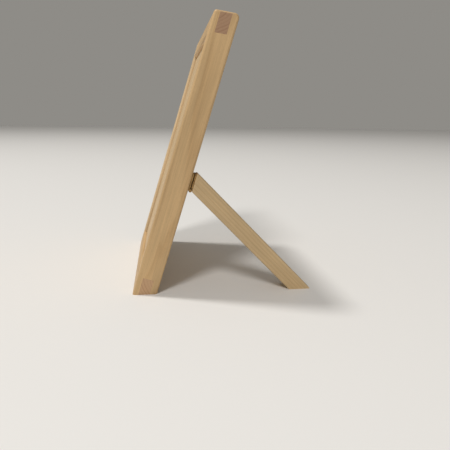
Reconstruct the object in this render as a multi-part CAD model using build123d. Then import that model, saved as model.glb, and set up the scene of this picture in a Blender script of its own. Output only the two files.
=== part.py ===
"""Tabletop display easel: a framed panel that leans back on one hinged rear leg.

Millimetres and degrees. +X is the width, the front faces -Y, the leg stands behind at +Y and +Z is up.
The origin is the middle of the whole object's footprint, on the surface that it stands on.
Pieces of the frame are drawn upright, with the front face on y = 0 and the foot of that face on z = 0,
and lean_back() then tips them into place.
"""
from build123d import *
import math
import os

# The panel and the four frame members
PANEL_WIDTH = 127.0
PANEL_HEIGHT = 178.0
PANEL_THICKNESS = 3.0
PANEL_PLAY = 0.1          # all round the panel in its groove
MEMBER_WIDTH = 14.0       # of the stiles and rails, seen from the front
MEMBER_DEPTH = 16.5       # of the stiles and rails, front to back
GROOVE_DEPTH = 5.0
FRONT_LIP = 2.4           # wood in front of the panel
TONGUE_SETBACK = 3.8      # wood of the stile in front of a rail's tongue
TONGUE_THICKNESS = 7.8
FRAME_ARRIS = 1.8         # radius of the frame's sanded long edges
TOP_SLOPE = 9.0           # of the top rail's upper and lower faces, which rise towards the back
TOP_BACK_ROUND = 3.0      # of the arris along the top of the frame's back

# The stance
LEAN_ANGLE = 16.75        # of the frame, back from the vertical
LEG_ANGLE = 61.0          # of the open leg, out from the back of the stile

# The leg
LEG_WIDTH = 14.0
LEG_THICKNESS = 11.6
LEG_HEEL_BELOW = 0.5      # from the pin's axis down to the leg's lower front corner
LEG_ARRIS = 1.0           # radius of the leg's sanded long edges
LEG_HEEL_ROUND = 1.1      # of the arris where the leg's end meets its lower face
LEG_TOP_ROUND = 0.8       # of the arris where the leg's end meets its upper face

# The butt hinge between the stile and the leg
PIVOT_HEIGHT = 81.8       # along the stile, from the foot of its front face
PIVOT_STANDOFF = 1.35     # of the pin's axis from the back of the stile
HINGE_LENGTH = 12.0       # along the pin
LEAF_HEIGHT = 11.8        # from the pin's axis to the leaf's free edge
LEAF_THICKNESS = 1.0
LEAF_CORNER_RADIUS = 1.2
KNUCKLE_RADIUS = 1.2
KNUCKLE_GAP = 0.15
KNUCKLE_RELIEF = 0.35     # from a leaf's cut-out to the other leaf's knuckle
PIN_RADIUS = 0.5
PIN_TIGHT_PLAY = 0.01     # in the frame leaf's knuckles, which grip the pin
PIN_RUNNING_PLAY = 0.05   # in the leg leaf's knuckle, which turns on it
PIN_HEAD_RADIUS = 0.8
PIN_HEAD_LENGTH = 0.35

# The raised countersunk wood screws
SCREW_SPACING = 6.6       # between the two screws of a leaf
SCREW_HEIGHT = 6.6        # from the pin's axis
SCREW_HEAD_RADIUS = 1.5
SCREW_DOME = 0.25         # height of the head's rounded top
SCREW_SHANK_RADIUS = 0.8
SCREW_LENGTH = 6.5
SCREW_TIP_LENGTH = 1.6
SLOT_WIDTH = 0.4
SLOT_DEPTH = 0.4

# Worked out from the sizes above
OPENING_WIDTH = PANEL_WIDTH - 2 * GROOVE_DEPTH
OPENING_HEIGHT = PANEL_HEIGHT - 2 * GROOVE_DEPTH
FRAME_WIDTH = OPENING_WIDTH + 2 * MEMBER_WIDTH
FRAME_HEIGHT = OPENING_HEIGHT + 2 * MEMBER_WIDTH
HINGE_X = (FRAME_WIDTH - LEG_WIDTH) / 2
LEAF_GAP = 2 * PIVOT_STANDOFF
PIVOT_Y = MEMBER_DEPTH + PIVOT_STANDOFF
LEG_END_HEIGHT = LEG_THICKNESS / math.sin(math.radians(LEG_ANGLE))
LEG_DOWN_OUT = (math.sin(math.radians(LEG_ANGLE)), -math.cos(math.radians(LEG_ANGLE)))
TOP_RISE = math.tan(math.radians(TOP_SLOPE))
REACH = 2 * FRAME_HEIGHT  # longer than any piece, for cutting tools
NEARLY = 0.1              # slack for telling where an edge lies


def box_between(low, high):
    """A box from its lowest corner to its highest."""
    size = [top - bottom for bottom, top in zip(low, high)]
    return Pos(*low) * Box(*size, align=(Align.MIN, Align.MIN, Align.MIN))


def section_between(front, back, bottom, top, rise):
    """A face on the YZ plane between two heights, which both rise towards the back."""
    corners = [
        (front, bottom + front * rise),
        (back, bottom + back * rise),
        (back, top + back * rise),
        (front, top + front * rise),
    ]
    return make_face(Plane.YZ * Polyline(*corners, close=True))


def rod(start_x, end_x, radius, y, z):
    """A round bar along X."""
    bar = Cylinder(radius, end_x - start_x, rotation=(0, 90, 0))
    return Pos((start_x + end_x) / 2, y, z) * bar


def tip_back(shape):
    """Lean a piece back with the frame, about the foot of the front face."""
    return Rot(X=-LEAN_ANGLE) * shape


def foot_reach():
    """How far behind the foot of the front face the leg's foot ends, once it is cut to the floor."""
    lean = math.radians(LEAN_ANGLE)
    out, down = LEG_DOWN_OUT
    top_y = MEMBER_DEPTH + LEAF_GAP
    top_z = PIVOT_HEIGHT - LEG_HEEL_BELOW + LEG_END_HEIGHT
    start = (top_y * math.cos(lean) + top_z * math.sin(lean), top_z * math.cos(lean) - top_y * math.sin(lean))
    run = (out * math.cos(lean) + down * math.sin(lean), down * math.cos(lean) - out * math.sin(lean))
    return start[0] - run[0] * start[1] / run[1]


FOOTPRINT_MIDDLE = foot_reach() / 2


def lean_back(shape):
    """Tip a piece of the frame back and set it over the middle of the footprint."""
    return Pos(0, -FOOTPRINT_MIDDLE, 0) * tip_back(shape)


def cut_to_floor(shape):
    """Take off whatever is below the surface that the object stands on."""
    below = box_between((-REACH, -REACH, -REACH), (REACH, REACH, 0))
    return shape - below


def side_outline(bottom, top):
    """A face on the YZ plane as deep as the frame, level at the bottom and rising backwards at the top."""
    corners = [
        (0, bottom),
        (MEMBER_DEPTH, bottom),
        (MEMBER_DEPTH, top + MEMBER_DEPTH * TOP_RISE),
        (0, top),
    ]
    return make_face(Plane.YZ * Polyline(*corners, close=True))


def frame_ring():
    """The four members as one glued and sanded ring, with rounded arrises inside and out."""
    outline = side_outline(0, FRAME_HEIGHT)
    outline = fillet(outline.vertices().sort_by(Axis.Z)[-1], TOP_BACK_ROUND)
    outline = fillet(outline.vertices().sort_by(Axis.Y)[:2].sort_by(Axis.Z)[-1], FRAME_ARRIS)
    ring = extrude(outline, FRAME_WIDTH / 2, both=True)
    sides = [ring.faces().sort_by(Axis.X)[place] for place in (0, -1)]
    outer = [edge for side in sides for edge in side.edges() if edge.center().Z > FRAME_ARRIS]
    ring = fillet(outer, FRAME_ARRIS)
    ring -= extrude(side_outline(MEMBER_WIDTH, FRAME_HEIGHT - MEMBER_WIDTH), OPENING_WIDTH / 2, both=True)
    return fillet([edge for edge in ring.edges() if is_opening_edge(edge)], FRAME_ARRIS)


def is_opening_edge(edge):
    """Whether an edge goes round the opening, in the frame's front or back face."""
    middle = edge.center()
    in_face = edge.bounding_box().size.Y < NEARLY
    beside_opening = abs(middle.X) < FRAME_WIDTH / 2 - FRAME_ARRIS - NEARLY
    above_foot = middle.Z > NEARLY
    below_top = middle.Z < FRAME_HEIGHT - FRAME_ARRIS - NEARLY
    return in_face and beside_opening and above_foot and below_top


def panel_housing():
    """The room that the grooves hold for the panel."""
    side = PANEL_WIDTH / 2 + PANEL_PLAY
    low = (-side, FRONT_LIP, MEMBER_WIDTH - GROOVE_DEPTH - PANEL_PLAY)
    high = (side, FRONT_LIP + PANEL_THICKNESS, FRAME_HEIGHT - MEMBER_WIDTH + GROOVE_DEPTH + PANEL_PLAY)
    return box_between(low, high)


def rail_region(bottom, rise):
    """Where a rail is: its length between the stiles, and its tongues right through them."""
    top = bottom + MEMBER_WIDTH
    tongue_back = TONGUE_SETBACK + TONGUE_THICKNESS
    body = section_between(0, MEMBER_DEPTH, bottom, top, rise)
    tongue = section_between(TONGUE_SETBACK, tongue_back, bottom, top, rise)
    return extrude(body, OPENING_WIDTH / 2, both=True) + extrude(tongue, FRAME_WIDTH / 2, both=True)


def top_rail_region():
    return rail_region(FRAME_HEIGHT - MEMBER_WIDTH, TOP_RISE)


def bottom_rail_region():
    return rail_region(0, 0)


def stile_region(side):
    """Where a stile is, at side -1 or +1, with its ends forked for the rails' tongues."""
    inside = side * OPENING_WIDTH / 2
    outside = side * FRAME_WIDTH / 2
    low = (min(inside, outside), 0, 0)
    high = (max(inside, outside), MEMBER_DEPTH, FRAME_HEIGHT + MEMBER_DEPTH * TOP_RISE)
    return box_between(low, high) - bottom_rail_region() - top_rail_region()


def display_panel():
    """The flat panel, held all round in the grooves."""
    panel = Box(PANEL_WIDTH, PANEL_THICKNESS, PANEL_HEIGHT, align=(Align.CENTER, Align.MIN, Align.MIN))
    return Pos(0, FRONT_LIP, MEMBER_WIDTH - GROOVE_DEPTH) * panel


def leg_blank():
    """The open leg before its foot is cut: a square stick whose end lies along the back of the stile."""
    out, down = LEG_DOWN_OUT
    front = MEMBER_DEPTH + LEAF_GAP
    heel = PIVOT_HEIGHT - LEG_HEEL_BELOW
    crown = heel + LEG_END_HEIGHT
    corners = [
        (front, heel),
        (front, crown),
        (front + out * REACH, crown + down * REACH),
        (front + out * REACH, heel + down * REACH),
    ]
    outline = make_face(Plane.YZ * Polyline(*corners, close=True))
    end_corners = outline.vertices().sort_by(Axis.Y)[:2].sort_by(Axis.Z)
    outline = fillet(end_corners[0], LEG_HEEL_ROUND)
    outline = fillet(outline.vertices().sort_by(Axis.Z)[-1], LEG_TOP_ROUND)
    stick = extrude(outline, LEG_WIDTH / 2, both=True)
    sides = [stick.faces().sort_by(Axis.X)[place] for place in (0, -1)]
    arrises = [edge for side in sides for edge in side.edges().sort_by(Axis.Y)[:-1]]
    return Pos(HINGE_X, 0, 0) * fillet(arrises, LEG_ARRIS)


def knuckles(spans, play):
    """The tubes of a leaf, at the given spans along X, bored for the pin."""
    tubes = [
        rod(start, end, KNUCKLE_RADIUS, PIVOT_Y, PIVOT_HEIGHT)
        - rod(start, end, PIN_RADIUS + play, PIVOT_Y, PIVOT_HEIGHT)
        for start, end in spans
    ]
    return Part() + tubes


def knuckle_spans():
    """The three spans of the barrel along X, in order."""
    length = (HINGE_LENGTH - 2 * KNUCKLE_GAP) / 3
    first = HINGE_X - HINGE_LENGTH / 2
    starts = [first + place * (length + KNUCKLE_GAP) for place in range(3)]
    return [(start, start + length) for start in starts]


def hinge_leaf(front, own_spans, other_spans, play, screws):
    """One leaf: a plate with rounded corners, its own knuckles, and room for the other leaf's."""
    back = front + LEAF_THICKNESS
    edge = HINGE_X - HINGE_LENGTH / 2
    plate = box_between((edge, front, PIVOT_HEIGHT), (edge + HINGE_LENGTH, back, PIVOT_HEIGHT + LEAF_HEIGHT))
    corners = plate.edges().filter_by(Axis.Y).group_by(Axis.Z)[-1]
    plate = fillet(corners, LEAF_CORNER_RADIUS)
    relief_top = PIVOT_HEIGHT + KNUCKLE_RADIUS + KNUCKLE_RELIEF
    for start, end in other_spans:
        low = (start - KNUCKLE_GAP, front, PIVOT_HEIGHT - KNUCKLE_RADIUS)
        plate -= box_between(low, (end + KNUCKLE_GAP, back, relief_top))
    bore = rod(edge, edge + HINGE_LENGTH, PIN_RADIUS + play, PIVOT_Y, PIVOT_HEIGHT)
    return plate + knuckles(own_spans, play) - bore - screws


def hinge_pin():
    """The pin, with a head riveted over at each end of the barrel."""
    start = HINGE_X - HINGE_LENGTH / 2
    end = HINGE_X + HINGE_LENGTH / 2
    pin = rod(start, end, PIN_RADIUS, PIVOT_Y, PIVOT_HEIGHT)
    pin += rod(start - PIN_HEAD_LENGTH, start, PIN_HEAD_RADIUS, PIVOT_Y, PIVOT_HEIGHT)
    pin += rod(end, end + PIN_HEAD_LENGTH, PIN_HEAD_RADIUS, PIVOT_Y, PIVOT_HEIGHT)
    return pin


def wood_screw():
    """A slotted, raised countersunk screw that points down -Z, with the rim of its head on z = 0."""
    profile = Polyline(
        (0, SCREW_DOME),
        (0, -SCREW_LENGTH),
        (SCREW_SHANK_RADIUS, SCREW_TIP_LENGTH - SCREW_LENGTH),
        (SCREW_SHANK_RADIUS, -LEAF_THICKNESS),
        (SCREW_HEAD_RADIUS, 0),
    )
    dome_radius = (SCREW_HEAD_RADIUS**2 + SCREW_DOME**2) / (2 * SCREW_DOME)
    turn = math.asin(SCREW_HEAD_RADIUS / dome_radius) / 2
    middle = (dome_radius * math.sin(turn), SCREW_DOME - dome_radius * (1 - math.cos(turn)))
    dome = ThreePointArc((SCREW_HEAD_RADIUS, 0), middle, (0, SCREW_DOME))
    screw = revolve(make_face(Plane.XZ * (profile + dome)), Axis.Z)
    slot = Box(2 * SCREW_HEAD_RADIUS, SLOT_WIDTH, 2 * SLOT_DEPTH)
    return screw - Pos(0, 0, SCREW_DOME) * slot


def leaf_screws(leaf_face, turn):
    """The two screws of a leaf, with their heads' rims on y = leaf_face, turned to point into the wood."""
    places = [HINGE_X - SCREW_SPACING / 2, HINGE_X + SCREW_SPACING / 2]
    height = PIVOT_HEIGHT + SCREW_HEIGHT
    return Compound([Pos(x, leaf_face, height) * Rot(X=turn) * wood_screw() for x in places])


def build_nodes():
    """Every piece in its place, by node name."""
    spans = knuckle_spans()
    outer_spans = [spans[0], spans[2]]
    inner_spans = [spans[1]]
    frame_screws = leaf_screws(MEMBER_DEPTH + LEAF_THICKNESS, turn=-90)
    leg_screws = leaf_screws(MEMBER_DEPTH + LEAF_GAP - LEAF_THICKNESS, turn=90)
    leg_leaf_front = MEMBER_DEPTH + LEAF_GAP - LEAF_THICKNESS

    ring = frame_ring() - panel_housing() - frame_screws
    upright = {
        "stile_right": ring & stile_region(1),
        "stile_left": ring & stile_region(-1),
        "top_rail": ring & top_rail_region(),
        "bottom_rail": ring & bottom_rail_region(),
        "display_panel": display_panel(),
        "leg": leg_blank() - leg_screws,
        "hinge_frame_leaf": hinge_leaf(MEMBER_DEPTH, outer_spans, inner_spans, PIN_TIGHT_PLAY, frame_screws),
        "hinge_leg_leaf": hinge_leaf(leg_leaf_front, inner_spans, outer_spans, PIN_RUNNING_PLAY, leg_screws),
        "hinge_pin": hinge_pin(),
        "hinge_frame_screws": frame_screws,
        "hinge_leg_screws": leg_screws,
    }
    nodes = {name: lean_back(shape) for name, shape in upright.items()}
    for name in ("stile_right", "stile_left", "bottom_rail", "leg"):
        nodes[name] = cut_to_floor(nodes[name])
    return nodes


def main():
    os.makedirs("parts", exist_ok=True)
    for name, shape in build_nodes().items():
        export_step(shape, f"parts/{name}.step")
    lean = math.radians(LEAN_ANGLE)
    pivot_y = PIVOT_Y * math.cos(lean) + PIVOT_HEIGHT * math.sin(lean) - FOOTPRINT_MIDDLE
    pivot_z = PIVOT_HEIGHT * math.cos(lean) - PIVOT_Y * math.sin(lean)
    print(f"pivot at x {HINGE_X:.3f}, y {pivot_y:.3f}, z {pivot_z:.3f}")
    print(f"footprint {FRAME_WIDTH:.1f} wide and {foot_reach():.3f} deep")


main()
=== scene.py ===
"""The looks of the tabletop easel: bare sanded wood with a dull brass hinge, on a plain pale floor.

Places and sizes are in metres. The materials count in millimetres, which is the scale of grain.
"""
import math

import bpy
from mathutils import Matrix, Vector

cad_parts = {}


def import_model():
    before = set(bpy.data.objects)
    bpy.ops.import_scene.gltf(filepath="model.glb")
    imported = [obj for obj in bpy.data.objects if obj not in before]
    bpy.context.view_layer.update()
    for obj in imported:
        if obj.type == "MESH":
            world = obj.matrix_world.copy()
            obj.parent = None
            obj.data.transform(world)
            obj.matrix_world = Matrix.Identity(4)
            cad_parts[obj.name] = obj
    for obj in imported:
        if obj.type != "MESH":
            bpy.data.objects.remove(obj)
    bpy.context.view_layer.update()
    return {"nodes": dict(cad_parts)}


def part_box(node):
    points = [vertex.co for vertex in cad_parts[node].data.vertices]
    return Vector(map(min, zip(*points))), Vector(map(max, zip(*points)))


# The view: from the object's right-hand side, a little to the front and above
CAMERA_AZIMUTH = 82.1
CAMERA_ELEVATION = 13.1
CAMERA_ROLL = math.radians(0.78)
CAMERA_DISTANCE = 0.324           # from the camera to the aim point
AIM_POINT = Vector((0.0655, 0.0014, 0.0475))
LENS_MM = 36.56
SENSOR_MM = 36.0

# The studio
FLOOR_REACH = 6.0                 # from the middle of the floor to its edges
FLOOR_COLOUR = (231, 230, 229)
FLOOR_ROUGHNESS = 0.6
SKY_COLOUR = (244, 240, 232)
SKY_STRENGTH = 0.3
LAMP_DISTANCE = 4.0
# By name: the azimuth and elevation in degrees, the width, the power in watts and the colour
LAMPS = {
    "key_front": (-27, 68, 0.5, 76, (1.0, 0.98, 0.94)),
    "key_side": (63, 50, 0.9, 61, (1.0, 0.98, 0.95)),
}

# The directions that the members run in
LEAN = math.radians(16.75)        # of the frame, back from the vertical
LEG_SLOPE = math.radians(45.75)   # of the open leg, down from the horizontal
RIGHTWARD = (1, 0, 0)
BACKWARD = (0, math.cos(LEAN), -math.sin(LEAN))
UP_STILE = (0, math.sin(LEAN), math.cos(LEAN))
DOWN_LEG = (0, math.cos(LEG_SLOPE), -math.sin(LEG_SLOPE))

# How fine each kind of noise is: its cells per millimetre, in two directions across the grain and along it
DRIFT = (0.03, 0.03, 0.006)       # bends the growth rings
FIBRES = (2.2, 2.2, 0.035)
STREAKS = (0.35, 0.35, 0.008)
FLECKS = (5.0, 5.0, 0.45)
PATCHES = (0.05, 0.05, 0.02)
PORES = (3.5, 3.5, 3.5)           # in the end grain
TARNISH = (0.6, 0.6, 0.6)
SCRATCHES = (0.4, 6.0, 6.0)

NOISE_LOW = 0.3                   # nearly all noise lies between these two levels
NOISE_HIGH = 0.7
MILLIMETRE = 0.001
MILLIMETRES_IN_METRE = 1000
SEED_STEP = 400.0                 # millimetres along the grain from one seed's wood to the next

# Wood
DRIFT_WIDTH = 9                   # how far the growth rings bend, in millimetres
YEAR_STEP = 0.73                  # between one ring and the next, in the noise that sets how dark each is
LATE_WOOD_CONTRAST = 0.45
# How dark the wood is across one year's ring, from the pale early wood to the late wood
RING_PROFILE = [(0.0, 0.25), (0.12, 0.0), (0.55, 0.12), (0.86, 0.9), (0.94, 1.0), (1.0, 0.25)]
FLECK_COLOUR = (120, 84, 48)
FLECK_STRENGTH = 0.22
FLECK_EDGES = (0.62, 0.72)        # of the noise, where a fleck begins and where it is full
END_GRAIN_EDGES = (0.78, 0.96)    # of how squarely a surface faces along the grain
END_GRAIN_ROUGHENING = 0.2
WOOD_ROUGHNESS = (0.46, 0.62)
WOOD_SPECULAR = 0.35
WOOD_RELIEF = 0.00012

# Brass
RUBBED_EDGES = (0.42, 0.62)       # of the noise, where the tarnish thins and where it is gone
BRASS_ROUGHNESS = (0.66, 0.82)
BRASS_METALLIC = 0.45             # the rest is the dull film of tarnish
BRASS_SPECULAR = 0.25
BRASS_RELIEF = 0.00004


def srgb(red, green, blue):
    """A linear RGBA colour from sRGB values of 0 to 255."""
    channels = [value / 255 for value in (red, green, blue)]
    linear = [c / 12.92 if c <= 0.04045 else ((c + 0.055) / 1.055) ** 2.4 for c in channels]
    return (*linear, 1.0)


def toward(azimuth, elevation):
    """The way from the object to a compass angle and a height, in degrees: 0 is the front, 90 its right."""
    azimuth = math.radians(azimuth)
    elevation = math.radians(elevation)
    level = math.cos(elevation)
    return Vector((math.sin(azimuth) * level, -math.cos(azimuth) * level, math.sin(elevation)))


def make_camera():
    data = bpy.data.cameras.new("camera")
    data.lens = LENS_MM
    data.sensor_width = SENSOR_MM
    camera = bpy.data.objects.new("camera", data)
    bpy.context.scene.collection.objects.link(camera)
    back = toward(CAMERA_AZIMUTH, CAMERA_ELEVATION)
    turn = (-back).to_track_quat("-Z", "Y").to_matrix() @ Matrix.Rotation(CAMERA_ROLL, 3, "Z")
    camera.matrix_world = Matrix.Translation(AIM_POINT + back * CAMERA_DISTANCE) @ turn.to_4x4()
    bpy.context.scene.camera = camera


def make_floor():
    mesh = bpy.data.meshes.new("floor")
    corners = [(x * FLOOR_REACH, y * FLOOR_REACH, 0) for x, y in ((-1, -1), (1, -1), (1, 1), (-1, 1))]
    mesh.from_pydata(corners, [], [(0, 1, 2, 3)])
    floor = bpy.data.objects.new("floor", mesh)
    bpy.context.scene.collection.objects.link(floor)
    material = bpy.data.materials.new("floor")
    material.use_nodes = True
    shader = material.node_tree.nodes["Principled BSDF"]
    shader.inputs["Base Color"].default_value = srgb(*FLOOR_COLOUR)
    shader.inputs["Roughness"].default_value = FLOOR_ROUGHNESS
    mesh.materials.append(material)


def make_sky():
    world = bpy.data.worlds.new("studio")
    world.use_nodes = True
    background = world.node_tree.nodes["Background"]
    background.inputs["Color"].default_value = srgb(*SKY_COLOUR)
    background.inputs["Strength"].default_value = SKY_STRENGTH
    bpy.context.scene.world = world


def make_lamp(name, azimuth, elevation, width, power, colour):
    """A round lamp that shines on the object from a compass angle and a height."""
    away = toward(azimuth, elevation)
    data = bpy.data.lights.new(name, "AREA")
    data.shape = "DISK"
    data.size = width
    data.energy = power
    data.color = colour
    lamp = bpy.data.objects.new(name, data)
    turn = away.to_track_quat("Z", "Y").to_matrix()
    lamp.matrix_world = Matrix.Translation(away * LAMP_DISTANCE) @ turn.to_4x4()
    bpy.context.scene.collection.objects.link(lamp)


class Nodes:
    """A material's node tree, with short ways to add nodes that feed each other."""

    def __init__(self, name):
        self.material = bpy.data.materials.new(name)
        self.material.use_nodes = True
        self.tree = self.material.node_tree
        self.shader = self.tree.nodes["Principled BSDF"]

    def add(self, kind, inputs, output=0, **settings):
        """A new node's output. An input is a number, a colour, a vector or another node's output."""
        made = self.tree.nodes.new("ShaderNode" + kind)
        for name, value in settings.items():
            setattr(made, name, value)
        for socket, value in inputs.items():
            self.feed(made.inputs[socket], value)
        return made.outputs[output]

    def feed(self, socket, value):
        if isinstance(value, bpy.types.NodeSocket):
            self.tree.links.new(value, socket)
        else:
            socket.default_value = value

    def finish(self, socket, value):
        """Set one of the shader's own sockets."""
        self.feed(self.shader.inputs[socket], value)

    def math(self, operation, first, second=0.0):
        return self.add("Math", {0: first, 1: second}, operation=operation)

    def vector(self, operation, first, second):
        return self.add("VectorMath", {0: first, 1: second}, operation=operation)

    def weighted_sum(self, *terms):
        """The sum of (value, weight) terms."""
        products = [self.math("MULTIPLY", value, weight) for value, weight in terms]
        total = products[0]
        for product in products[1:]:
            total = self.math("ADD", total, product)
        return total

    def blend(self, amount, first, second, kind="MIX"):
        """Two colours mixed by an amount from 0 to 1."""
        inputs = {"Factor": amount, 6: first, 7: second}
        return self.add("Mix", inputs, output=2, data_type="RGBA", blend_type=kind)

    def ramp(self, value, stops):
        """A value read off a ramp of (place, level) stops."""
        made = self.tree.nodes.new("ShaderNodeValToRGB")
        self.feed(made.inputs[0], value)
        elements = made.color_ramp.elements
        while len(elements) < len(stops):
            elements.new(0.5)
        for element, (place, level) in zip(elements, stops):
            element.position = place
            element.color = (level, level, level, 1)
        return made.outputs[0]

    def rise(self, value, edges):
        """A level that rises from 0 to 1 as a value goes from one edge to the other."""
        start, end = edges
        return self.ramp(value, [(start, 0.0), (end, 1.0)])

    def levels(self, noise, lowest, highest):
        """A grey level that follows some noise."""
        return self.ramp(noise, [(NOISE_LOW, lowest), (NOISE_HIGH, highest)])

    def spread(self, noise, limits):
        """A number between two limits that follows some noise."""
        low, high = limits
        inputs = {"Value": noise, "From Min": NOISE_LOW, "From Max": NOISE_HIGH}
        return self.add("MapRange", {**inputs, "To Min": low, "To Max": high})

    def tint(self, amount, colour, noise, darkest, lightest):
        """A colour made darker and lighter by some noise."""
        return self.blend(amount, colour, self.levels(noise, darkest, lightest), kind="MULTIPLY")

    def noise(self, place, fineness, detail=2.0, roughness=0.5, output="Fac"):
        """Noise with so many cells per millimetre in each direction."""
        scaled = self.vector("MULTIPLY", place, fineness)
        inputs = {"Vector": scaled, "Scale": 1.0, "Detail": detail, "Roughness": roughness}
        return self.add("TexNoise", inputs, output=output, noise_dimensions="3D", normalize=True)

    def relief(self, height, strength, depth):
        """Bump the surface by a height from 0 to about 1, which stands for a depth in metres."""
        self.finish("Normal", self.add("Bump", {"Height": height, "Strength": strength, "Distance": depth}))


def member_axes(along, across):
    """The turn from a member's own axes, whose Z runs along its grain, to the object's."""
    along = Vector(along).normalized()
    across = Vector(across).normalized()
    return Matrix((across, along.cross(across), along)).transposed()


def place_in_member(nodes, turn, middle, seed):
    """Millimetres from the member's middle along its own axes, moved along the grain by the seed."""
    coordinates = nodes.add("TexCoord", {}, output="Object")
    inputs = {"Vector": coordinates, "Location": middle, "Rotation": turn.to_euler()}
    place = nodes.add("Mapping", {**inputs, "Scale": [MILLIMETRE] * 3}, vector_type="TEXTURE")
    return nodes.vector("ADD", place, (0, 0, SEED_STEP * seed))


def late_wood(nodes, place, pith, ring_spacing):
    """How far a place is into the dark late wood of its year, in rings round a pith beside the member."""
    drift = nodes.noise(place, DRIFT, detail=3, output="Color")
    drift = nodes.vector("SUBTRACT", drift, (0.5, 0.5, 0.5))
    drift = nodes.vector("MULTIPLY", drift, (DRIFT_WIDTH, DRIFT_WIDTH, 0))
    bent = nodes.vector("ADD", place, drift)
    offset = nodes.vector("SUBTRACT", bent, (*pith, 0))
    across = nodes.vector("MULTIPLY", offset, (1, 1, 0))
    radius = nodes.add("VectorMath", {0: across}, output="Value", operation="LENGTH")
    ring = nodes.math("DIVIDE", radius, ring_spacing)
    late = nodes.ramp(nodes.math("FRACT", ring), RING_PROFILE)
    inputs = {"W": nodes.math("FLOOR", ring), "Scale": YEAR_STEP, "Detail": 0.0}
    year = nodes.add("TexNoise", inputs, noise_dimensions="1D")
    return nodes.math("MULTIPLY", late, nodes.levels(year, 0.25, 1.0))


def end_grain_mask(nodes, turn):
    """1 where the surface cuts across the grain, and 0 where it runs along it."""
    normal = nodes.add("TexCoord", {}, output="Normal")
    along = turn @ Vector((0, 0, 1))
    facing = nodes.add("VectorMath", {0: normal, 1: along}, output="Value", operation="DOT_PRODUCT")
    return nodes.rise(nodes.math("ABSOLUTE", facing), END_GRAIN_EDGES)


def wood(name, turn, middle, pith, seed, colours, ring_spacing):
    """Bare sanded softwood: growth rings, fibres, flecks, drifting tone and porous end grain."""
    light, dark, end_light, end_dark = [srgb(*colour) for colour in colours]
    nodes = Nodes(name)
    place = place_in_member(nodes, turn, middle, seed)
    late = late_wood(nodes, place, pith, ring_spacing)
    fibre = nodes.noise(place, FIBRES, detail=4, roughness=0.6)
    streak = nodes.noise(place, STREAKS)
    fleck = nodes.rise(nodes.noise(place, FLECKS, detail=1), FLECK_EDGES)
    patch = nodes.noise(place, PATCHES)
    pores = nodes.noise(place, PORES, detail=3, roughness=0.7)
    end = end_grain_mask(nodes, turn)

    colour = nodes.blend(nodes.math("MULTIPLY", late, LATE_WOOD_CONTRAST), light, dark)
    colour = nodes.tint(0.55, colour, fibre, 0.78, 1.1)
    colour = nodes.tint(0.8, colour, streak, 0.86, 1.08)
    colour = nodes.tint(1.0, colour, patch, 0.9, 1.06)
    colour = nodes.blend(nodes.math("MULTIPLY", fleck, FLECK_STRENGTH), colour, srgb(*FLECK_COLOUR))
    end_colour = nodes.blend(late, end_light, end_dark)
    end_colour = nodes.tint(0.5, end_colour, pores, 0.7, 1.15)
    nodes.finish("Base Color", nodes.blend(end, colour, end_colour))

    roughening = nodes.math("MULTIPLY", end, END_GRAIN_ROUGHENING)
    nodes.finish("Roughness", nodes.math("ADD", nodes.spread(fibre, WOOD_ROUGHNESS), roughening))
    end_pores = nodes.math("MULTIPLY", pores, end)
    height = nodes.weighted_sum((fibre, 0.7), (late, 0.35), (fleck, -0.4), (end_pores, 0.8))
    nodes.relief(height, strength=0.5, depth=WOOD_RELIEF)
    nodes.finish("Specular IOR Level", WOOD_SPECULAR)
    return nodes.material


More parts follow.
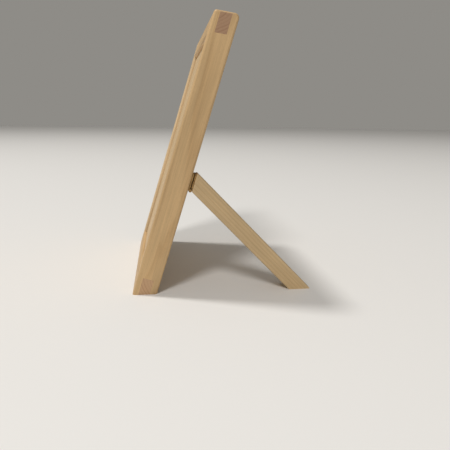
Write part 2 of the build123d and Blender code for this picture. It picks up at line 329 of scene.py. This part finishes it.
def brass(name, bare, tarnished):
    """Dull old brass: browned, with the tarnish rubbed thin in places."""
    nodes = Nodes(name)
    coordinates = nodes.add("TexCoord", {}, output="Object")
    place = nodes.vector("MULTIPLY", coordinates, [MILLIMETRES_IN_METRE] * 3)
    cloud = nodes.noise(place, TARNISH, detail=4, roughness=0.6)
    scratch = nodes.noise(place, SCRATCHES)
    rubbed = nodes.rise(cloud, RUBBED_EDGES)
    nodes.finish("Base Color", nodes.blend(rubbed, srgb(*tarnished), srgb(*bare)))
    nodes.finish("Roughness", nodes.spread(scratch, BRASS_ROUGHNESS))
    nodes.finish("Metallic", BRASS_METALLIC)
    nodes.finish("Specular IOR Level", BRASS_SPECULAR)
    nodes.relief(nodes.weighted_sum((cloud, 0.6), (scratch, 0.4)), strength=0.35, depth=BRASS_RELIEF)
    return nodes.material


def middle_of(node):
    low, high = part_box(node)
    return (low + high) / 2


def paint(frame, node, material):
    frame["nodes"][node].material_slots[0].material = material


def paint_wood(frame):
    stile = member_axes(UP_STILE, RIGHTWARD)
    rail = member_axes(RIGHTWARD, BACKWARD)
    leg = member_axes(DOWN_LEG, RIGHTWARD)
    # Each wood's early and late wood, seen along the grain and then at its end
    pine = ((207, 174, 128), (176, 136, 88), (200, 164, 128), (182, 142, 106))
    brown_ended = ((207, 174, 128), (176, 136, 88), (174, 140, 112), (156, 120, 92))
    cream = ((218, 190, 150), (190, 154, 110), (200, 164, 128), (182, 142, 106))
    grey_pine = ((210, 182, 139), (181, 146, 101), (200, 164, 128), (182, 142, 106))
    birch = ((216, 187, 144), (192, 155, 108), (200, 165, 122), (170, 132, 90))
    # Each piece's axes, the pith's place across it, its seed, its wood and the spacing of its rings
    looks = {
        "stile_right": (stile, (-19, 6), 7, pine, 2.1),
        "stile_left": (stile, (22, -9), 2, cream, 2.4),
        "top_rail": (rail, (-14, 12), 3, brown_ended, 2.0),
        "bottom_rail": (rail, (17, 11), 4, pine, 2.2),
        "leg": (leg, (4, -20), 10, grey_pine, 2.3),
        "display_panel": (stile, (5, 90), 6, birch, 5.2),
    }
    for node, (turn, pith, seed, colours, spacing) in looks.items():
        paint(frame, node, wood(node, turn, middle_of(node), pith, seed, colours, spacing))


def paint_brass(frame):
    hinge = brass("hinge", bare=(176, 142, 92), tarnished=(136, 106, 66))
    screw = brass("screws", bare=(184, 150, 98), tarnished=(142, 112, 70))
    for node in ("hinge_frame_leaf", "hinge_leg_leaf", "hinge_pin"):
        paint(frame, node, hinge)
    for node in ("hinge_frame_screws", "hinge_leg_screws"):
        paint(frame, node, screw)


def main():
    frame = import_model()
    bpy.context.scene.view_settings.view_transform = "Standard"
    make_camera()
    make_floor()
    make_sky()
    for name, settings in LAMPS.items():
        make_lamp(name, *settings)
    paint_wood(frame)
    paint_brass(frame)


main()
